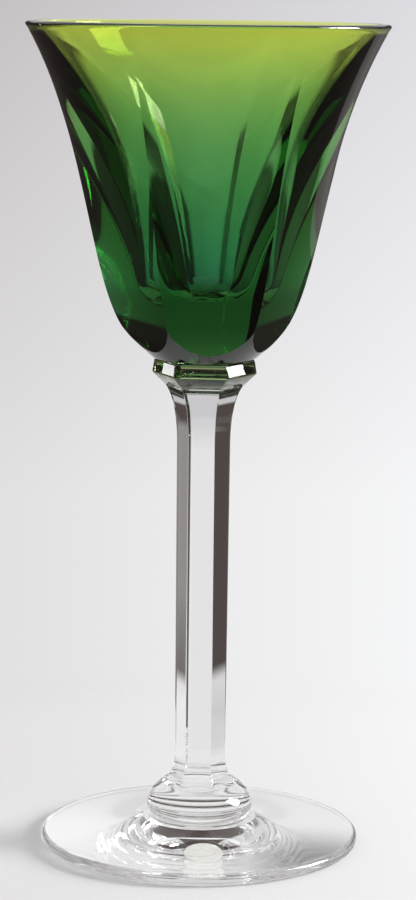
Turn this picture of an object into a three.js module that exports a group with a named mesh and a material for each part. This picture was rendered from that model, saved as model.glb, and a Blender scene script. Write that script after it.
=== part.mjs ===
// Hock wine glass: a green bowl cut with six flat panels, on a clear six-sided stem and a round foot.
// Millimetres, +Z up. The origin is on the table under the middle of the foot, and the front faces -Y.

import * as THREE from 'three';

// Driving dimensions

// Foot: a round plate, flat below, that sweeps up to the button
const footDiameter = 76;
const footHeight = 6; // thickness under the button
const footEdgeThickness = 2.8;
const footEdgeRound = 1.1;
const footSeatDiameter = 27; // flat middle that carries the button
const footPlateRise = 0.5; // how far the plate climbs from its edge
const footPlateRun = 15; // how far the plate keeps near level
const footSweepRun = 5; // width of the sweep up to the seat

// Button: the round swelling between foot and stem
const buttonDiameter = 25.2;
const buttonHeight = 8.5;
const buttonFootDiameter = 23.2;
const buttonTopDiameter = 18;
const buttonWidestHeight = 3;

// Stem: a six-sided column, measured across its corners
const stemLength = 96;
const stemUpperWidth = 12.7;
const stemLowerWidth = 12.2;
const stemTopWidth = 18.4; // where it spreads under the collar
const stemTopFlare = 14;
const stemBottomWidth = 17; // where it spreads onto the button
const stemBottomFlare = 7.5;
const stemTurn = -5; // degrees that the front flat is turned toward +X

// Collar: a six-sided wafer, measured across its corners
const collarWidth = 24.8;
const collarTopWidth = 23.8;
const collarHeight = 6.5;
const collarBevelHeight = 3;
const collarTopEdge = 0.5;

// Bowl: a flared bell, solid at the bottom
const bowlHeight = 78;
const rimDiameter = 84.6;
const rimWall = 2.4;
const rimRound = 0.7;
const rimLean = 30; // degrees from upright
const rimSweep = 28; // length over which the flare straightens
const shoulderDiameter = 40.4;
const shoulderHeight = 8.6;
const shoulderLean = 28;
const shoulderSweep = 16;
const bowlBaseDiameter = 24;
const bowlBaseLean = 50; // slope of the underside where it meets the collar
const bowlBaseSweep = 4.4;
const undersideSweep = 2.8;

// Panels: six flats round the bowl that fade into the round rim
const panelTurn = 4.5; // degrees that the front panel is turned toward +X
const panelFlatHeight = 17; // flat below this
const panelRoundHeight = 74.5; // round above this
const panelFade = 1.6; // above 1 the flats fade sooner on the way up
const panelInside = 0.48; // how much of the flats shows on the inside

// Cavity: narrow in the solid bottom, then flaring with the bell
const cavityRimLean = 33;
const cavityRimSweep = 22;
const cavityHeelRadius = 10.6; // where the wall turns into the floor
const cavityHeelHeight = 22;
const cavityHeelLean = 16;
const cavityHeelSweep = 20;
const cavityFloorThickness = 16;

// Counts
const sides = 6; // flats round the stem and panels round the bowl
const roundSteps = 60; // a whole number of steps for each side
const wallSteps = 16;
const bendSteps = 6;
const undersideSteps = 10;
const plateSteps = 12;

// Colours
const greenGlass = 0x3f9a52;
const clearGlass = 0xe9eeea;

// A point at a distance from a start, in a direction given in degrees from upright
function lean(start, degrees, distance) {
  const angle = THREE.MathUtils.degToRad(degrees);
  return new THREE.Vector2(start.x + distance * Math.sin(angle), start.y + distance * Math.cos(angle));
}

function point(radius, height) {
  return new THREE.Vector2(radius, height);
}

function bend(start, startHandle, endHandle, end, steps) {
  return new THREE.CubicBezierCurve(start, startHandle, endHandle, end).getPoints(steps);
}

function distinct(outline) {
  return outline.filter((p, i) => i === 0 || p.distanceTo(outline[i - 1]) > 1e-6);
}

// An outline of radius against height, turned about Z with its first corner at an angle from the front
function turned(outline, steps, degrees) {
  const geometry = new THREE.LatheGeometry(distinct(outline), steps, THREE.MathUtils.degToRad(degrees));
  return geometry.rotateX(Math.PI / 2);
}

function round(outline, degrees = 0) {
  return turned(outline, roundSteps, degrees);
}

// A six-sided form with one flat facing the front, given by the radius of its corners
function sixSided(outline, degrees) {
  return turned(outline, sides, degrees + 180 / sides);
}

function glass(color) {
  return new THREE.MeshStandardMaterial({ color, roughness: 0.03, metalness: 0 });
}

function footGeometry() {
  const edge = footDiameter / 2;
  const seat = footSeatDiameter / 2;
  const plateEnd = point(edge - footEdgeRound, footEdgeThickness);
  const seatEdge = point(seat, footHeight);
  const plate = footEdgeThickness + footPlateRise;
  return round([
    point(0, 0),
    point(edge - footEdgeRound, 0),
    ...bend(point(edge - footEdgeRound, 0), point(edge - footEdgeRound / 2, 0),
      point(edge, footEdgeRound / 2), point(edge, footEdgeRound), bendSteps),
    ...bend(point(edge, footEdgeThickness - footEdgeRound), point(edge, footEdgeThickness - footEdgeRound / 2),
      point(edge - footEdgeRound / 2, footEdgeThickness), plateEnd, bendSteps),
    ...bend(plateEnd, point(plateEnd.x - footPlateRun, plate), point(seat + footSweepRun, plate),
      seatEdge, plateSteps),
    point(0, footHeight),
  ]);
}

function buttonGeometry() {
  const widest = point(buttonDiameter / 2, buttonWidestHeight);
  const lower = point(buttonFootDiameter / 2, 0);
  const upper = point(buttonTopDiameter / 2, buttonHeight);
  const under = buttonWidestHeight / 2;
  const over = (buttonHeight - buttonWidestHeight) / 2;
  return round([
    point(0, 0),
    ...bend(lower, point((lower.x + widest.x) / 2, 0), point(widest.x, under), widest, bendSteps),
    ...bend(widest, point(widest.x, widest.y + over), point((upper.x + widest.x) / 2, upper.y - over / 2),
      upper, bendSteps),
    point(0, buttonHeight),
  ]);
}

function stemGeometry() {
  const upper = stemUpperWidth / 2;
  const lower = stemLowerWidth / 2;
  const top = point(stemTopWidth / 2, stemLength);
  const bottom = point(stemBottomWidth / 2, 0);
  const flareTop = point(upper, stemLength - stemTopFlare);
  const flareBottom = point(lower, stemBottomFlare);
  return sixSided([
    point(0, 0),
    ...bend(bottom, point((bottom.x + lower * 5) / 6, stemBottomFlare / 4),
      point(lower, stemBottomFlare / 2), flareBottom, bendSteps),
    ...bend(flareTop, point(upper, stemLength - stemTopFlare / 2),
      point((upper * 3 + top.x * 2) / 5, stemLength - stemTopFlare / 6), top, bendSteps),
    point(0, stemLength),
  ], stemTurn);
}

function collarGeometry() {
  const seat = stemTopWidth / 2;
  const topCorner = collarTopWidth / 2;
  return sixSided([
    point(0, 0),
    point(seat, 0),
    point(collarWidth / 2, collarBevelHeight),
    point(topCorner, collarHeight - collarTopEdge),
    point(topCorner - collarTopEdge, collarHeight),
    point(0, collarHeight),
  ], stemTurn);
}

// The outside of the bell along a ridge, from the middle of its bottom up to the rim
function bowlOutside() {
  const base = point(bowlBaseDiameter / 2, 0);
  const shoulder = point(shoulderDiameter / 2, shoulderHeight);
  const rim = point(rimDiameter / 2, bowlHeight - rimRound);
  return distinct([
    point(0, 0),
    ...bend(base, lean(base, bowlBaseLean, bowlBaseSweep),
      lean(shoulder, shoulderLean, -undersideSweep), shoulder, undersideSteps),
    ...bend(shoulder, lean(shoulder, shoulderLean, shoulderSweep),
      lean(rim, rimLean, -rimSweep), rim, wallSteps),
  ]);
}

// Over the rim and down the cavity to the middle of its floor
function bowlInside() {
  const outer = rimDiameter / 2;
  const inner = outer - rimWall;
  const rim = point(inner, bowlHeight - rimRound);
  const heel = point(cavityHeelRadius, cavityHeelHeight);
  return [
    point(outer - rimRound / 3, bowlHeight - rimRound / 3),
    point(outer - rimRound, bowlHeight),
    point(inner + rimRound, bowlHeight),
    point(inner + rimRound / 3, bowlHeight - rimRound / 3),
    ...bend(rim, lean(rim, cavityRimLean, -cavityRimSweep),
      lean(heel, cavityHeelLean, cavityHeelSweep), heel, wallSteps),
    ...bend(heel, lean(heel, cavityHeelLean, cavityFloorThickness - cavityHeelHeight),
      point(cavityHeelRadius / 2, cavityFloorThickness), point(0, cavityFloorThickness), bendSteps),
  ];
}

// How flat the panels are at a height: 0 is round, 1 is a true six-sided section
function flatness(height) {
  const share = (panelRoundHeight - height) / (panelRoundHeight - panelFlatHeight);
  return THREE.MathUtils.clamp(share, 0, 1) ** panelFade;
}

// The radius at an angle from the middle of a panel, where the ridges beside it have the given radius
function panelRadius(ridge, flat, angle) {
  return ridge / (1 - flat + flat * Math.cos(angle) / Math.cos(Math.PI / sides));
}

function outsideRadius(radius, height, angle) {
  const slope = Math.tan(THREE.MathUtils.degToRad(shoulderLean));
  const drop = shoulderHeight - height;
  const ridge = drop > 0 ? shoulderDiameter / 2 - drop * slope : radius; // flats run straight on below
  return Math.min(radius, panelRadius(ridge, flatness(height), angle));
}

function insideRadius(radius, height, angle) {
  return panelRadius(radius, flatness(height) * panelInside, angle);
}

// The bell turned round, then drawn in between its ridges
function bowlGeometry() {
  const outside = bowlOutside();
  const outline = distinct([...outside, ...bowlInside()]);
  const geometry = round(outline, panelTurn);
  const places = geometry.attributes.position;
  const panelSpan = 2 * Math.PI / sides;
  for (let i = 0; i < places.count; i++) {
    const step = i % outline.length;
    const { x: radius, y: height } = outline[step];
    if (radius > 0) {
      const turn = Math.atan2(places.getX(i), -places.getY(i)) - THREE.MathUtils.degToRad(panelTurn);
      const angle = turn - Math.round(turn / panelSpan) * panelSpan;
      const drawnIn = step < outside.length ? outsideRadius : insideRadius;
      const share = drawnIn(radius, height, angle) / radius;
      places.setXY(i, places.getX(i) * share, places.getY(i) * share);
    }
  }
  geometry.computeVertexNormals();
  return geometry;
}

// Pieces stacked from the table up, each standing flat on the one below
const pieces = [
  { name: 'foot', geometry: footGeometry(), height: footHeight, color: clearGlass },
  { name: 'button', geometry: buttonGeometry(), height: buttonHeight, color: clearGlass },
  { name: 'stem', geometry: stemGeometry(), height: stemLength, color: clearGlass },
  { name: 'collar', geometry: collarGeometry(), height: collarHeight, color: clearGlass },
  { name: 'bowl', geometry: bowlGeometry(), height: bowlHeight, color: greenGlass },
];

const wineGlass = new THREE.Group();
let level = 0;
for (const piece of pieces) {
  const mesh = new THREE.Mesh(piece.geometry, glass(piece.color));
  mesh.name = piece.name;
  mesh.position.z = level;
  wineGlass.add(mesh);
  level += piece.height;
}

export default wineGlass;
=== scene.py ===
import math

import bmesh
import bpy
import numpy as np
from mathutils import Matrix, Vector


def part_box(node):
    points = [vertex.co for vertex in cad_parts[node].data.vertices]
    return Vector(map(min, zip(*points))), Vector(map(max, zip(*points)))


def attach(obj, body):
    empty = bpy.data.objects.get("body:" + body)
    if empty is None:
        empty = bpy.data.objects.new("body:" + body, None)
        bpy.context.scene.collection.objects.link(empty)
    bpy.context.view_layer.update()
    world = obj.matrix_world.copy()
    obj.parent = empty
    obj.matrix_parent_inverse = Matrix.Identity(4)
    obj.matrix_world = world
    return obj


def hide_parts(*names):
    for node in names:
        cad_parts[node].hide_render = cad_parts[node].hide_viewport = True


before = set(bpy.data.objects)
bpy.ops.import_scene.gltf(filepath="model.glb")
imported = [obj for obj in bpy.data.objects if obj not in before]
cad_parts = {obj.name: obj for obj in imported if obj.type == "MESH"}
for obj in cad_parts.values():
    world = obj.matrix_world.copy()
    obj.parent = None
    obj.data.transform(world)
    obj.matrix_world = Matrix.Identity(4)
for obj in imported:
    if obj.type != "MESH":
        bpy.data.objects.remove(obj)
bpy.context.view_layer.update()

print("frame loaded:", ", ".join(sorted(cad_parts)))

mm = 0.001  # shapes are given in millimetres, the stage in metres
flats = 6  # panels round the bowl and flats round the stem
halfFlat = math.pi / flats
flatShare = math.cos(halfFlat)  # middle of a flat against its corner
flatRim = 0.05  # narrow ring that keeps a flat face flat up to its edge, mm
mergeReach = 2e-7  # points nearer than this are one, m
slimReach = 1e-7  # shorter edges are dropped, m
seamReach = 1e-6  # faces this near a seam belong to it, m
creaseAngle = math.radians(0.5)  # sharper ridges stay crisp
tiny = 1e-9


# outline helpers, in millimetres of radius and height

def leanFrom(start, degrees, distance):
    angle = math.radians(degrees)
    return (start[0] + distance * math.sin(angle), start[1] + distance * math.cos(angle))


def bendPoint(curve, t):
    weights = ((1 - t) ** 3, 3 * t * (1 - t) ** 2, 3 * t * t * (1 - t), t ** 3)
    return tuple(sum(w * p[i] for w, p in zip(weights, curve)) for i in (0, 1))


def bend(curve, steps):
    return [bendPoint(curve, i / steps) for i in range(steps + 1)]


def between(start, end, steps):
    shares = [i / steps for i in range(1, steps)]
    return [tuple(a + (b - a) * share for a, b in zip(start, end)) for share in shares]


def softCorners(outline, roundness, steps=3, longest=0.45):
    soft = [outline[0]]
    for before, corner, after in zip(outline, outline[1:], outline[2:]):
        a, b, c = (np.array(p, float) for p in (before, corner, after))
        back, on = a - b, c - b
        reach = min(roundness, np.linalg.norm(back) * longest, np.linalg.norm(on) * longest)
        start = b + back / np.linalg.norm(back) * reach
        end = b + on / np.linalg.norm(on) * reach
        for i in range(steps + 1):
            t = i / steps
            soft.append(tuple((1 - t) ** 2 * start + 2 * t * (1 - t) * b + t * t * end))
    soft.append(outline[-1])
    return soft


# mesh helpers

def ringPoint(radius, angle, height):
    return (radius * math.sin(angle) * mm, -radius * math.cos(angle) * mm, height * mm)


def roundRings(outline, steps, base):
    angles = [2 * math.pi * i / steps for i in range(steps)]
    return [[ringPoint(r, a, h + base) for a in angles] for r, h in outline]


def hexRings(outline, turn, edgeRound, base, arcSteps=4, mostRound=0.3):
    rings = []
    for corner, h in outline:
        soft = min(edgeRound, corner * mostRound)
        inner = corner - soft / flatShare
        ring = []
        for k in range(flats):
            middle = math.radians(turn) + (2 * k + 1) * halfFlat
            for i in range(arcSteps + 1):
                a = middle + halfFlat * (2 * i / arcSteps - 1)
                x = inner * math.sin(middle) + soft * math.sin(a)
                y = -inner * math.cos(middle) - soft * math.cos(a)
                ring.append((x * mm, y * mm, (h + base) * mm))
        rings.append(ring)
    return rings


def meshFromRings(name, rings, creases=None):
    bm = bmesh.new()
    mark = bm.verts.layers.int.new("crease")
    columns = len(rings[0])
    grid = []
    for j, ring in enumerate(rings):
        row = [bm.verts.new(p) for p in ring]
        if creases:
            for vert, flag in zip(row, creases[j]):
                vert[mark] = int(flag)
        grid.append(row)
    for lower, upper in zip(grid, grid[1:]):
        for i in range(columns):
            k = (i + 1) % columns
            bm.faces.new((lower[i], lower[k], upper[k], upper[i]))
    bmesh.ops.remove_doubles(bm, verts=bm.verts[:], dist=mergeReach)
    bmesh.ops.dissolve_degenerate(bm, edges=bm.edges[:], dist=slimReach)
    bmesh.ops.recalc_face_normals(bm, faces=bm.faces[:])
    for face in bm.faces:
        face.smooth = True
    for edge in bm.edges:
        ends = edge.verts
        if creases and ends[0][mark] and ends[1][mark] and len(edge.link_faces) == 2:
            edge.smooth = edge.calc_face_angle(0) < creaseAngle
    mesh = bpy.data.meshes.new(name)
    bm.to_mesh(mesh)
    bm.free()
    obj = bpy.data.objects.new(name, mesh)
    bpy.context.collection.objects.link(obj)
    return obj


def nodeBase(node):
    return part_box(node)[0][2] / mm


def nodeHeight(node):
    low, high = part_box(node)
    return (high[2] - low[2]) / mm


def nodeRadius(node):
    low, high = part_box(node)
    return (high[0] - low[0]) / 2 / mm


def dress(obj, node, slot, *materials):
    for material in materials:
        obj.data.materials.append(material)
    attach(obj, "root")
    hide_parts(node)
    print(obj.name + ":", len(obj.data.polygons), "faces")


def markSeams(obj, seams, reach=math.inf):  # fused faces take the second material
    mesh = obj.data
    for face in mesh.polygons:
        corners = [mesh.vertices[i].co for i in face.vertices]
        within = all(math.hypot(c.x, c.y) < reach for c in corners)
        if within and any(max(abs(c.z - seam) for c in corners) < seamReach for seam in seams):
            face.material_index = 1


def levelNormals(obj):
    weighted = obj.modifiers.new("levelFlats", "WEIGHTED_NORMAL")
    weighted.mode = "FACE_AREA"
    weighted.weight = 100
    weighted.keep_sharp = True


# node helpers

def newMaterial(name):
    material = bpy.data.materials.new(name)
    material.use_nodes = True
    tree = material.node_tree
    tree.nodes.clear()
    out = tree.nodes.new("ShaderNodeOutputMaterial")
    return material, tree, out


def ramp(tree, stops, source):
    node = tree.nodes.new("ShaderNodeValToRGB")
    node.color_ramp.interpolation = "LINEAR"
    elements = node.color_ramp.elements
    while len(elements) > 1:
        elements.remove(elements[-1])
    elements[0].position = stops[0][0]
    elements[0].color = (*stops[0][1], 1)
    for place, color in stops[1:]:
        element = elements.new(place)
        element.color = (*color, 1)
    tree.links.new(source, node.inputs["Fac"])
    return node.outputs["Color"]


def mapRange(tree, source, low, high, toLow=0.0, toHigh=1.0, smooth=False):
    node = tree.nodes.new("ShaderNodeMapRange")
    node.clamp = True
    if smooth:
        node.interpolation_type = "SMOOTHSTEP"
    node.inputs["From Min"].default_value = low
    node.inputs["From Max"].default_value = high
    node.inputs["To Min"].default_value = toLow
    node.inputs["To Max"].default_value = toHigh
    tree.links.new(source, node.inputs["Value"])
    return node.outputs["Result"]


def mathNode(tree, operation, a, b=None):
    node = tree.nodes.new("ShaderNodeMath")
    node.operation = operation
    for socket, value in zip(node.inputs, (a, b)):
        if value is None:
            continue
        if isinstance(value, (int, float)):
            socket.default_value = value
        else:
            tree.links.new(value, socket)
    return node.outputs["Value"]


def mixColor(tree, factor, a, b):
    node = tree.nodes.new("ShaderNodeMix")
    node.data_type = "RGBA"
    first, second = node.inputs[6], node.inputs[7]  # the two color sockets
    for socket, value in ((node.inputs["Factor"], factor), (first, a), (second, b)):
        if isinstance(value, tuple):
            socket.default_value = (*value, 1)
        elif isinstance(value, (int, float)):
            socket.default_value = value
        else:
            tree.links.new(value, socket)
    return node.outputs[2]


def mixShader(tree, factor, first, second):
    node = tree.nodes.new("ShaderNodeMixShader")
    for socket, source in zip(node.inputs, (factor, first, second)):
        tree.links.new(source, socket)
    return node.outputs["Shader"]


def noiseFactor(tree, scale, warp=0.0):
    coords = tree.nodes.new("ShaderNodeTexCoord")
    noise = tree.nodes.new("ShaderNodeTexNoise")
    noise.inputs["Scale"].default_value = scale
    noise.inputs["Distortion"].default_value = warp
    tree.links.new(coords.outputs["Object"], noise.inputs["Vector"])
    return noise.outputs["Fac"]


def heightTint(tree, node, stops):
    low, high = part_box(node)
    coords = tree.nodes.new("ShaderNodeTexCoord")
    split = tree.nodes.new("ShaderNodeSeparateXYZ")
    tree.links.new(coords.outputs["Object"], split.inputs["Vector"])
    level = mapRange(tree, split.outputs["Z"], low[2], high[2])
    return ramp(tree, stops, level)


def glassShader(tree, out, refraction, tint):
    shader = tree.nodes.new("ShaderNodeBsdfPrincipled")
    shader.inputs["Roughness"].default_value = 0.0
    shader.inputs["IOR"].default_value = refraction
    shader.inputs["Transmission Weight"].default_value = 1.0
    tree.links.new(tint, shader.inputs["Base Color"])
    tree.links.new(shader.outputs["BSDF"], out.inputs["Surface"])


# glass: clear with faint streaks, and no surface where two pieces are fused

clearGlassLook = {
    "refraction": 1.53,
    "tint": (0.99, 0.995, 0.99),
    "streakTint": (0.975, 0.982, 0.975),
    "streakScale": 70.0,
    "streakWarp": 1.5,
}


def clearGlass():
    look = clearGlassLook
    material, tree, out = newMaterial("clearGlass")
    streaks = noiseFactor(tree, look["streakScale"], look["streakWarp"])
    tint = mixColor(tree, streaks, look["tint"], look["streakTint"])
    glassShader(tree, out, look["refraction"], tint)
    return material


def fusedSeam():
    material, tree, out = newMaterial("fusedSeam")
    shader = tree.nodes.new("ShaderNodeBsdfTransparent")
    tree.links.new(shader.outputs["BSDF"], out.inputs["Surface"])
    return material


clearGlassMaterial = clearGlass()
seamMaterial = fusedSeam()
print("clear glass made")


# bowl: a flared bell, round at the rim and flattening into six panels below

greenGlassLook = {
    "refraction": 1.53,
    "tints": (  # share of the bowl's height, and the tint there
        (0.05, (0.42, 0.49, 0.45)),
        (0.11, (0.20, 0.35, 0.35)),
        (0.20, (0.20, 0.35, 0.35)),  # end of the solid bottom
        (0.27, (0.41, 0.70, 0.76)),
        (0.62, (0.62, 0.82, 0.57)),
        (0.85, (0.83, 0.871, 0.377)),
        (1.0, (0.894, 0.877, 0.286)),  # yellow-green rim
    ),
    "absorb": (0.25, 0.64, 0.20),
    "density": 110.0,
}


def greenGlass():
    look = greenGlassLook
    material, tree, out = newMaterial("greenGlass")
    glassShader(tree, out, look["refraction"], heightTint(tree, "bowl", look["tints"]))
    absorb = tree.nodes.new("ShaderNodeVolumeAbsorption")
    absorb.inputs["Color"].default_value = (*look["absorb"], 1)
    absorb.inputs["Density"].default_value = look["density"]
    tree.links.new(absorb.outputs["Volume"], out.inputs["Volume"])
    return material


bowlShape = {
    "turn": 4.5,  # degrees that the front panel is turned toward +X
    "rimWall": 2.4,
    "rimRound": 0.7,
    "rimLean": 30,
    "rimSweep": 28,
    "shoulderRadius": 20.2,
    "shoulderHeight": 8.6,
    "shoulderLean": 28,
    "shoulderSweep": 16,
    "baseRadius": 12,
    "baseLean": 50,
    "baseSweep": 4.4,
    "undersideSweep": 2.8,
    "flatBelow": 17,
    "roundAbove": 74.5,
    "flatPower": 1.6,  # above 1 the flats fade sooner on the way up
    "insideFlat": 0.48,  # how much of the flats shows on the inside
    "cavityRimLean": 33,
    "cavityRimSweep": 22,
    "heelRadius": 10.6,
    "heelHeight": 22,
    "heelLean": 16,
    "heelSweep": 20,
    "floorThickness": 16,
    "rippleHeight": 0.22,  # slow waves left where the floor was worked
    "rippleRings": 2.5,
    "rippleLobes": 5,
    "rippleSwing": 0.12,
    "lipMarks": (0, 30, 60, 90),  # degrees round the edge of the rim
    "undersideRings": 24,
    "wallRings": 80,
    "cavityRings": 80,
    "floorRings": 48,
    "stripSteps": 8,  # across half of the round strip between two panels
    "panelSteps": 20,
    # half widths of a panel, in degrees, that get a ring of their own
    "spreadMarks": (0.01, 2, 4, 6, 9, 12, 15, 18, 21, 24, 27, 29.9),
    "halvings": 40,  # steps in the search for those rings
}


def makeBowl():
    shape = bowlShape
    base = nodeBase("bowl")
    height = nodeHeight("bowl")
    rim = nodeRadius("bowl")
    rimOuter = (rim, height - shape["rimRound"])
    rimInner = (rim - shape["rimWall"], height - shape["rimRound"])
    bottom = (shape["baseRadius"], 0)
    shoulder = (shape["shoulderRadius"], shape["shoulderHeight"])
    heel = (shape["heelRadius"], shape["heelHeight"])
    underside = (bottom, leanFrom(bottom, shape["baseLean"], shape["baseSweep"]),
                 leanFrom(shoulder, shape["shoulderLean"], -shape["undersideSweep"]), shoulder)
    wall = (shoulder, leanFrom(shoulder, shape["shoulderLean"], shape["shoulderSweep"]),
            leanFrom(rimOuter, shape["rimLean"], -shape["rimSweep"]), rimOuter)
    cavity = (rimInner, leanFrom(rimInner, shape["cavityRimLean"], -shape["cavityRimSweep"]),
              leanFrom(heel, shape["heelLean"], shape["heelSweep"]), heel)
    floor = (heel, leanFrom(heel, shape["heelLean"], shape["floorThickness"] - shape["heelHeight"]),
             (shape["heelRadius"] / 2, shape["floorThickness"]), (0, shape["floorThickness"]))
    slope = math.tan(math.radians(shape["shoulderLean"]))

    def outer(t):
        return bendPoint(underside, t) if t <= 1 else bendPoint(wall, t - 1)

    def flatness(h):
        share = (shape["roundAbove"] - h) / (shape["roundAbove"] - shape["flatBelow"])
        return min(max(share, 0.0), 1.0) ** shape["flatPower"]

    def ridgeRadius(r, h):  # below the shoulder the panels run straight on down
        drop = shape["shoulderHeight"] - h
        return r if drop <= 0 else shape["shoulderRadius"] - drop * slope

    def drawnIn(ridge, flat, a):  # radius at an angle from the middle of a panel
        return ridge / (1 - flat + flat * math.cos(a) / flatShare)

    def panelSpread(t):  # half the angle that a panel takes up
        r, h = outer(t)
        if h >= shape["shoulderHeight"] - tiny:
            return halfFlat
        cosine = flatShare * (1 + (ridgeRadius(r, h) / r - 1) / flatness(h))
        return 0.0 if cosine >= 1 else min(math.acos(cosine), halfFlat)

    def crossing(low, high, target):  # where a panel reaches a given half width
        below = panelSpread(low) < target
        for _ in range(shape["halvings"]):
            middle = (low + high) / 2
            if (panelSpread(middle) < target) == below:
                low = middle
            else:
                high = middle
        return high

    def ringPlaces():
        places = [i / shape["undersideRings"] for i in range(shape["undersideRings"])]
        places += [1 + i / shape["wallRings"] for i in range(shape["wallRings"] + 1)]
        extra = []
        for low, high in zip(places, places[1:]):
            for target in [math.radians(mark) for mark in shape["spreadMarks"]]:
                if (panelSpread(low) < target) != (panelSpread(high) < target):
                    extra.append(crossing(low, high, target))
        return sorted(places + extra)

    steps = shape["panelSteps"]
    shares = [math.sin(math.pi / 2 * (2 * i / steps - 1)) for i in range(steps + 1)]

    def turnsAt(spread):  # angles across a panel and half of each strip beside it
        gap = (halfFlat - spread) / shape["stripSteps"]
        turns = [(-halfFlat + gap * i, False) for i in range(shape["stripSteps"])]
        turns += [(spread * share, abs(share) > 1 - tiny) for share in shares]
        turns += [(spread + gap * i, False) for i in range(1, shape["stripSteps"])]
        return turns

    def ripple(r, angle):
        out = min(r / shape["heelRadius"], 1.0)
        swing = shape["rippleSwing"] * math.sin(shape["rippleLobes"] * angle)
        waves = math.sin(2 * math.pi * (shape["rippleRings"] * out + swing))
        return shape["rippleHeight"] * waves * math.sin(math.pi * out) ** 2

    rings, creases = [], []

    def addRing(r, h, spread=halfFlat, panelled=False, inside=False, rippled=False):
        ring, flags = [], []
        for k in range(flats):
            centre = math.radians(shape["turn"]) + 2 * k * halfFlat
            for a, edge in turnsAt(spread):
                reach = r
                if inside:
                    reach = drawnIn(r, flatness(h) * shape["insideFlat"], a)
                elif panelled and abs(a) <= spread + tiny:
                    reach = min(r, drawnIn(ridgeRadius(r, h), flatness(h), a))
                lift = ripple(r, centre + a) if rippled else 0.0
                ring.append(ringPoint(reach, centre + a, h + base + lift))
                ridge = edge or spread >= halfFlat and abs(a) >= halfFlat - tiny
                flags.append(ridge and (inside or panelled and spread > 0))
        rings.append(ring)
        creases.append(flags)

    def addLip(edge, way, degrees):
        a = math.radians(degrees)
        r = edge + way * shape["rimRound"] * (1 - math.cos(a))
        h = height - shape["rimRound"] * (1 - math.sin(a))
        addRing(r, h)

    addRing(0, 0)
    for t in ringPlaces():
        addRing(*outer(t), panelSpread(t), panelled=True)
    for degrees in shape["lipMarks"][1:]:
        addLip(rim, -1, degrees)
    for degrees in reversed(shape["lipMarks"]):
        addLip(rimInner[0], 1, degrees)
    for r, h in bend(cavity, shape["cavityRings"])[1:]:
        addRing(r, h, inside=True)
    for r, h in bend(floor, shape["floorRings"])[1:]:
        addRing(r, h, inside=True, rippled=True)
    obj = meshFromRings("bowl_glass", rings, creases)
    dress(obj, "bowl", "green_glass", greenGlass())


# collar: six-sided wafer whose top is fused into the bowl

collarTintWithPaintedLight = {
    "refraction": 1.53,
    "tints": (  # share of the collar's height, and the tint there: the bowl's green glass fused in, with painted light
        (0.30, (0.96, 0.98, 0.86)),
        # painted glint: the lighter yellow-green band stands for the glints of the bowl's green seen in
        # the collar
        (0.45, (0.74, 0.92, 0.42)),
        (0.70, (0.74, 0.92, 0.42)),
        (0.86, (0.02, 0.06, 0.01)),  # painted shade: a dark green line standing for the dark bowl seen through the top facets
    ),
}


def collarGlass():
    look = collarTintWithPaintedLight
    material, tree, out = newMaterial("collarGlass")
    glassShader(tree, out, look["refraction"], heightTint(tree, "collar", look["tints"]))
    return material


collarShape = {
    "turn": -5,
    "radius": 12.4,
    "topRadius": 11.9,
    "bevelHeight": 3,
    "topEdge": 0.5,
    "seatRadius": 9.2,
    "edgeRound": 0.35,
    "bevelRound": 0.3,
    "fuseDepth": 0.2,
}


def makeCollar():
    shape = collarShape
    base = nodeBase("collar")
    height = nodeHeight("collar")
    top = height + shape["fuseDepth"]
    seat = (shape["seatRadius"], 0)
    side = [
        seat,
        (shape["radius"], shape["bevelHeight"]),
        (shape["topRadius"], height - shape["topEdge"]),
        (shape["topRadius"] - shape["topEdge"], top),
    ]
    outline = [(0, 0)] + softCorners(side, shape["bevelRound"]) + [(0, top)]
    obj = meshFromRings("collar_glass", hexRings(outline, shape["turn"], shape["edgeRound"], base))
    dress(obj, "collar", "clear_glass", collarGlass(), seamMaterial)
    markSeams(obj, [base * mm])
    levelNormals(obj)


# stem: six-sided column with flared ends

stemShape = {
    "turn": -5,
    "upperRadius": 6.35,
    "lowerRadius": 6.1,
    "topRadius": 9.2,
    "topFlare": 14,
    "bottomRadius": 8.5,
    "bottomFlare": 7.5,
    "edgeRound": 0.3,
    "bottomRings": 20,
    "shaftRings": 24,
    "topRings": 28,
}


def makeStem():
    shape = stemShape
    base = nodeBase("stem")
    height = nodeHeight("stem")
    upper, lower = shape["upperRadius"], shape["lowerRadius"]
    shaftBottom = (lower, shape["bottomFlare"])
    shaftTop = (upper, height - shape["topFlare"])
    bottom = (
        (shape["bottomRadius"], 0),
        ((shape["bottomRadius"] + lower * 5) / 6, shape["bottomFlare"] / 4),
        (lower, shape["bottomFlare"] / 2),
        shaftBottom,
    )
    top = (
        shaftTop,
        (upper, height - shape["topFlare"] / 2),
        ((upper * 3 + shape["topRadius"] * 2) / 5, height - shape["topFlare"] / 6),
        (shape["topRadius"], height),
    )
    outline = [(0, 0)] + bend(bottom, shape["bottomRings"])
    outline += between(shaftBottom, shaftTop, shape["shaftRings"])
    outline += bend(top, shape["topRings"]) + [(0, height)]
    obj = meshFromRings("stem_glass", hexRings(outline, shape["turn"], shape["edgeRound"], base))
    dress(obj, "stem", "clear_glass", clearGlassMaterial, seamMaterial)
    markSeams(obj, [base * mm, (base + height) * mm])
    levelNormals(obj)


# button: round swelling between stem and foot

buttonShape = {
    "radius": 12.6,
    "footRadius": 11.6,
    "topRadius": 9,
    "widestHeight": 3,
    "steps": 120,
    "underRings": 32,
    "overRings": 40,
}


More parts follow.
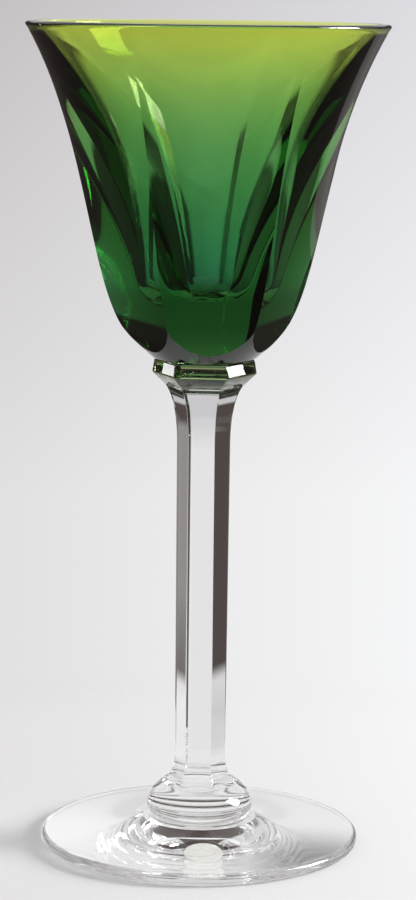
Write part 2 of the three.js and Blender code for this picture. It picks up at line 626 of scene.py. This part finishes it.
def makeButton():
    shape = buttonShape
    base = nodeBase("button")
    height = nodeHeight("button")
    widest = (shape["radius"], shape["widestHeight"])
    lower = (shape["footRadius"], 0)
    upper = (shape["topRadius"], height)
    rise = (height - shape["widestHeight"]) / 2
    under = (lower, ((lower[0] + widest[0]) / 2, 0), (widest[0], shape["widestHeight"] / 2), widest)
    over = (widest, (widest[0], widest[1] + rise),
            ((upper[0] + widest[0]) / 2, upper[1] - rise / 2), upper)
    outline = [(0, 0), (lower[0] - flatRim, 0)] + bend(under, shape["underRings"])
    outline += bend(over, shape["overRings"])[1:] + [(upper[0] - flatRim, height), (0, height)]
    obj = meshFromRings("button_glass", roundRings(outline, shape["steps"], base))
    dress(obj, "button", "clear_glass", clearGlassMaterial, seamMaterial)
    markSeams(obj, [base * mm, (base + height) * mm])


# foot: round plate, flat below, sweeping up to the button

footShape = {
    "edgeThickness": 2.8,
    "edgeRound": 1.1,
    "seatRadius": 13.5,
    "plateRise": 0.5,
    "plateRun": 15,
    "sweepRun": 5,
    "steps": 160,
    "edgeRings": 10,
    "crownRings": 90,
}


def makeFoot():
    shape = footShape
    base = nodeBase("foot")
    height = nodeHeight("foot")
    edge = nodeRadius("foot")
    soft, thick = shape["edgeRound"], shape["edgeThickness"]
    rim = edge - soft
    plate = thick + shape["plateRise"]
    seat = (shape["seatRadius"], height)
    under = buttonShape["footRadius"]
    lowerEdge = ((rim, 0), (edge - soft / 2, 0), (edge, soft / 2), (edge, soft))
    upperEdge = ((edge, thick - soft), (edge, thick - soft / 2), (edge - soft / 2, thick), (rim, thick))
    crown = ((rim, thick), (rim - shape["plateRun"], plate), (seat[0] + shape["sweepRun"], plate), seat)
    outline = [(0, 0), (rim - flatRim, 0)]
    outline += bend(lowerEdge, shape["edgeRings"]) + bend(upperEdge, shape["edgeRings"])
    outline += bend(crown, shape["crownRings"])[1:]
    outline += [(seat[0] - flatRim, height), (under, height), (0, height)]
    obj = meshFromRings("foot_glass", roundRings(outline, shape["steps"], base))
    dress(obj, "foot", "clear_glass", clearGlassMaterial, seamMaterial)
    markSeams(obj, [(base + height) * mm], under * mm + seamReach)


# spot: small frosted round on the underside of the foot

spotShape = {
    "radius": 4.6,
    "stretch": 1.5,
    "place": (1.0, -20),
    "low": 0.01,  # above the underside of the foot
    "thickness": 0.04,
    "edge": 0.25,
    "steps": 48,
}
spotLook = {"color": (0.94, 0.93, 0.89), "shade": 0.65, "grain": 700.0, "roughness": 0.8}


def frostedGlass():
    look = spotLook
    material, tree, out = newMaterial("frostedGlass")
    shader = tree.nodes.new("ShaderNodeBsdfPrincipled")
    shader.inputs["Roughness"].default_value = look["roughness"]
    shade = tuple(look["shade"] * c for c in look["color"])
    tint = mixColor(tree, noiseFactor(tree, look["grain"]), shade, look["color"])
    tree.links.new(tint, shader.inputs["Base Color"])
    tree.links.new(shader.outputs["BSDF"], out.inputs["Surface"])
    return material


def makeSpot():
    shape = spotShape
    flat = shape["radius"] - shape["edge"]
    thick = shape["thickness"]
    outline = [(0, 0), (flat, 0), (shape["radius"], thick / 2), (flat, thick), (0, thick)]
    rings = roundRings(outline, shape["steps"], nodeBase("foot") + shape["low"])
    x, y = shape["place"]
    stretch = shape["stretch"]
    rings = [[(p[0] + x * mm, p[1] * stretch + y * mm, p[2]) for p in ring] for ring in rings]
    obj = meshFromRings("foot_spot", rings)
    dress(obj, "foot", "clear_glass", frostedGlass())


makeFoot()
makeSpot()
makeButton()
makeStem()
makeCollar()
makeBowl()
print("glass built")


# sides: dark flags beside the paper, and a paler floor at the right

sideLook = {
    "flagLeft": (0.08, 0.063, 0.06),
    "flagRight": (0.085, 0.068, 0.063),
    "flagHalf": 0.3,  # the tone goes from left to right over this
    "floorRight": (0.33, 0.31, 0.30),
}


def sideTone(tree, x, floorShare):
    look = sideLook
    across = mapRange(tree, x, -look["flagHalf"], look["flagHalf"])
    flag = mixColor(tree, across, look["flagLeft"], look["flagRight"])
    return mixColor(tree, floorShare, flag, look["floorRight"])


# table: pale top that fades into the backdrop, with a glowing sheet of paper that only the glass sees,
# carrying painted shade, painted shadows and a painted glint

tableLook = {
    "radius": 0.60,
    "sides": 96,
    "drop": 0.00008,  # just below the foot
    "fade": (0.11, 0.17),  # distances between which the top thins out
    # painted shade: the top is a little darker at the left and lighter at the right, added to the
    # lamp's own light from the right
    "left": (0.505, 0.495, 0.50),
    "right": (0.515, 0.512, 0.522),
    "half": 0.05,  # the tone goes from left to right over this
    # painted light: the paper is darker at the left and lighter at the right, as the lamp stands at the
    # right
    "paperLeft": (0.78, 0.765, 0.77),
    "paperRight": (0.92, 0.915, 0.92),
    "paperHalf": 0.112,
    "paperFront": 0.056,
    "paperSoft": 0.008,
    "floorEdge": (0.05, 0.2),  # where the paler floor comes in
    "patches": (  # place, reach, depth and tone of painted soft shadows and a painted glint on the paper
        # painted shadow of the glass, cast to the left of the foot
        ((-0.075, 0.07, 0.0), 0.07, 0.2, (0.06, 0.05, 0.05)),
        # painted glint: a white pool standing for the lamp's light focused through the foot
        ((-0.034, -0.004, 0.0), 0.042, 1.0, (1.0, 1.0, 1.0)),
        # painted shadow, dark under the right front of the foot
        ((0.028, -0.023, 0.0), 0.030, 1.0, (0.03, 0.024, 0.02)),
    ),
}


def paperWithPaintedLight(tree, place, x):
    look = tableLook
    across = mapRange(tree, x, -look["paperHalf"], look["paperHalf"])
    tone = mixColor(tree, across, look["paperLeft"], look["paperRight"])
    # each patch paints a soft shadow or a glint into the paper's tone
    for spot, reach, depth, paintedTone in look["patches"]:
        away = tree.nodes.new("ShaderNodeVectorMath")
        away.operation = "DISTANCE"
        away.inputs[1].default_value = spot
        tree.links.new(place, away.inputs[0])
        share = mapRange(tree, away.outputs["Value"], 0.0, reach, depth, 0.0, smooth=True)
        tone = mixColor(tree, share, tone, paintedTone)
    return tone


def offPaper(tree, x, y):
    look = tableLook
    half, front, soft = look["paperHalf"], look["paperFront"], look["paperSoft"]
    aside = mapRange(tree, mathNode(tree, "ABSOLUTE", x), half - soft, half + soft, smooth=True)
    inFront = mapRange(tree, y, -front - soft, -front + soft, 1.0, 0.0, smooth=True)
    return mathNode(tree, "MAXIMUM", aside, inFront)


def tableTop():
    look = tableLook
    material, tree, out = newMaterial("tableTop")
    coords = tree.nodes.new("ShaderNodeTexCoord")
    place = coords.outputs["Object"]
    split = tree.nodes.new("ShaderNodeSeparateXYZ")
    tree.links.new(place, split.inputs["Vector"])
    x, y = split.outputs["X"], split.outputs["Y"]
    path = tree.nodes.new("ShaderNodeLightPath")
    glossy, through = path.outputs["Is Glossy Ray"], path.outputs["Is Transmission Ray"]

    top = tree.nodes.new("ShaderNodeBsdfDiffuse")
    across = mapRange(tree, x, -look["half"], look["half"])
    topTone = mixColor(tree, across, look["left"], look["right"])
    tree.links.new(topTone, top.inputs["Color"])
    clear = tree.nodes.new("ShaderNodeBsdfTransparent")
    reach = tree.nodes.new("ShaderNodeVectorMath")
    reach.operation = "LENGTH"
    tree.links.new(place, reach.inputs[0])
    fade = mapRange(tree, reach.outputs["Value"], *look["fade"], smooth=True)
    table = mixShader(tree, fade, top.outputs["BSDF"], clear.outputs["BSDF"])

    floorShare = mathNode(tree, "MULTIPLY", mapRange(tree, x, *look["floorEdge"]), through)
    beside = sideTone(tree, x, floorShare)
    paper = paperWithPaintedLight(tree, place, x)
    glow = tree.nodes.new("ShaderNodeEmission")
    tree.links.new(mixColor(tree, offPaper(tree, x, y), paper, beside), glow.inputs["Color"])
    byGlass = mathNode(tree, "MAXIMUM", glossy, through)
    seen = mixShader(tree, byGlass, table, glow.outputs["Emission"])
    tree.links.new(seen, out.inputs["Surface"])
    return material


def makeTable():
    look = tableLook
    bm = bmesh.new()
    bmesh.ops.create_circle(bm, cap_ends=True, segments=look["sides"], radius=look["radius"])
    mesh = bpy.data.meshes.new("table_top")
    bm.to_mesh(mesh)
    bm.free()
    mesh.materials.append(tableTop())
    obj = bpy.data.objects.new("table_top", mesh)
    bpy.context.collection.objects.link(obj)
    obj.location.z = -look["drop"]


# surround: a narrow pale backdrop behind the glass, flags beside it and a ceiling

surroundLook = {
    # painted shade: the backdrop is darker at the left and lighter at the right, as the light comes
    # from the right
    "left": ((0.55, 0.53, 0.535), (0.76, 0.75, 0.755)),  # at the horizon and low down
    "right": ((0.72, 0.71, 0.75), (0.915, 0.92, 0.93)),
    "low": -0.18,  # heights are the rise of a direction, 0 at the horizon
    "half": 0.075,  # the tone goes from left to right over this
    "sideEdge": 11,  # degrees to each side where the backdrop ends
    "edgeSoft": 1.5,
    "topEdge": (0.18, 0.30),  # where the backdrop ends above
    "ceilingEdge": (0.18, 0.26),  # where the flags end above
    "ceiling": (0.92, 0.92, 0.93),
    "throughGlass": (0.66, 0.65, 0.66),  # ceiling as seen through glass
    "highEdge": (0.40, 0.45),
    "highThroughGlass": (0.07, 0.05, 0.045),
    "floorEdge": (0.2, 0.4),
    "floorLow": -0.06,
    "plainLight": (1.0, 1.0, 1.0),  # what matt surfaces get
    "scatterDepth": 0.5,  # between no matt bounce and one
}


def makeSurround():
    look = surroundLook
    world = bpy.data.worlds.new("studio")
    bpy.context.scene.world = world
    world.use_nodes = True
    tree = world.node_tree
    tree.nodes.clear()
    coords = tree.nodes.new("ShaderNodeTexCoord")
    split = tree.nodes.new("ShaderNodeSeparateXYZ")
    tree.links.new(coords.outputs["Generated"], split.inputs["Vector"])
    x, y, z = (split.outputs[axis] for axis in "XYZ")
    path = tree.nodes.new("ShaderNodeLightPath")

    down = mapRange(tree, z, 0.0, look["low"])
    left = mixColor(tree, down, *look["left"])
    right = mixColor(tree, down, *look["right"])
    backdrop = mixColor(tree, mapRange(tree, x, -look["half"], look["half"]), left, right)

    highUp = mapRange(tree, z, *look["highEdge"], smooth=True)
    throughGlass = mixColor(tree, highUp, look["throughGlass"], look["highThroughGlass"])
    above = mixColor(tree, path.outputs["Is Transmission Ray"], look["ceiling"], throughGlass)
    behind = mixColor(tree, mapRange(tree, z, *look["topEdge"], smooth=True), backdrop, above)
    toRight = mapRange(tree, x, *look["floorEdge"])
    floorShare = mathNode(tree, "MULTIPLY", toRight, mapRange(tree, z, 0.0, look["floorLow"]))
    overhead = mapRange(tree, z, *look["ceilingEdge"], smooth=True)
    beside = mixColor(tree, overhead, sideTone(tree, x, floorShare), above)

    aside = mathNode(tree, "ABSOLUTE", mathNode(tree, "ARCTAN2", x, y))  # 0 straight behind the glass
    edge, soft = math.radians(look["sideEdge"]), math.radians(look["edgeSoft"])
    pastEdge = mapRange(tree, aside, edge - soft, edge + soft, smooth=True)
    byGlass = mixColor(tree, pastEdge, behind, beside)
    seen = mixColor(tree, path.outputs["Is Camera Ray"], byGlass, backdrop)
    scattered = mathNode(tree, "GREATER_THAN", path.outputs["Diffuse Depth"], look["scatterDepth"])
    light = tree.nodes.new("ShaderNodeBackground")
    tree.links.new(mixColor(tree, scattered, seen, look["plainLight"]), light.inputs["Color"])
    out = tree.nodes.new("ShaderNodeOutputWorld")
    tree.links.new(light.outputs["Background"], out.inputs["Surface"])


# lamps: a softbox for the shadow, a window for the glints in the bowl, strips for the collar

lampLook = {
    "softbox": {
        "power": 16.5,
        "size": (0.3, 0.4),
        "place": (0.85, 0.08, 0.34),
        "aim": (0, 0, 0.1),
        "lightsTable": True,
        "seenThroughGlass": False,
    },
    "window": {
        "power": 8.5,
        "size": (0.35, 0.5),
        "place": (0.817, 0.0, 0.463),
        "aim": (0, 0, 0.165),
        "lightsTable": False,
        "seenThroughGlass": True,
    },
    "stripRight": {
        "power": 0.036,
        "size": (0.011, 0.06),
        "place": (0.8492, 0.2962, 0.141),
        "aim": (0, 0, 0.114),
        "lightsTable": False,
        "seenThroughGlass": False,
    },
    "stripLeft": {
        "power": 0.030,
        "size": (0.026, 0.06),
        "place": (-0.706, 0.558, 0.098),
        "aim": (0, 0, 0.114),
        "lightsTable": False,
        "seenThroughGlass": False,
    },
}


def makeLamp(name):
    look = lampLook[name]
    data = bpy.data.lights.new(name, "AREA")
    data.shape = "RECTANGLE"
    data.size, data.size_y = look["size"]
    data.energy = look["power"]
    lamp = bpy.data.objects.new(name, data)
    lamp.location = look["place"]
    lamp.rotation_euler = (Vector(look["aim"]) - lamp.location).to_track_quat("-Z", "Y").to_euler()
    lamp.visible_camera = False
    lamp.visible_diffuse = look["lightsTable"]
    lamp.visible_transmission = look["seenThroughGlass"]
    bpy.context.collection.objects.link(lamp)


makeTable()
makeSurround()
for lampName in lampLook:
    makeLamp(lampName)
print("stage set")


# camera: just above the rim, looking a little down

cameraView = {
    "distance": 0.659,
    "height": 0.204,
    "pitch": 9.39,  # degrees down
    "yaw": 0.093,
    "roll": 0.70,
    "lens": 113.08,
    "sensor": 36,
    "nearest": 0.01,
}


def makeCamera():
    view = cameraView
    data = bpy.data.cameras.new("camera")
    data.sensor_fit = "VERTICAL"
    data.sensor_height = view["sensor"]
    data.lens = view["lens"]
    data.clip_start = view["nearest"]
    pitch, yaw, roll = (math.radians(view[k]) for k in ("pitch", "yaw", "roll"))
    ahead = math.cos(pitch)
    forward = Vector((math.sin(yaw) * ahead, math.cos(yaw) * ahead, -math.sin(pitch)))
    level = Vector((math.cos(yaw), -math.sin(yaw), 0))
    up = level.cross(forward)
    right = level * math.cos(roll) + up * math.sin(roll)
    up = right.cross(forward)
    turn = Matrix((right, up, -forward)).transposed().to_4x4()
    camera = bpy.data.objects.new("camera", data)
    camera.matrix_world = Matrix.Translation((0, -view["distance"], view["height"])) @ turn
    bpy.context.collection.objects.link(camera)
    bpy.context.scene.camera = camera


makeCamera()
scene = bpy.context.scene
scene.view_settings.view_transform = "Standard"
scene.cycles.max_bounces = 32
scene.cycles.transmission_bounces = 32
scene.cycles.glossy_bounces = 24
scene.cycles.transparent_max_bounces = 32
print("camera set")
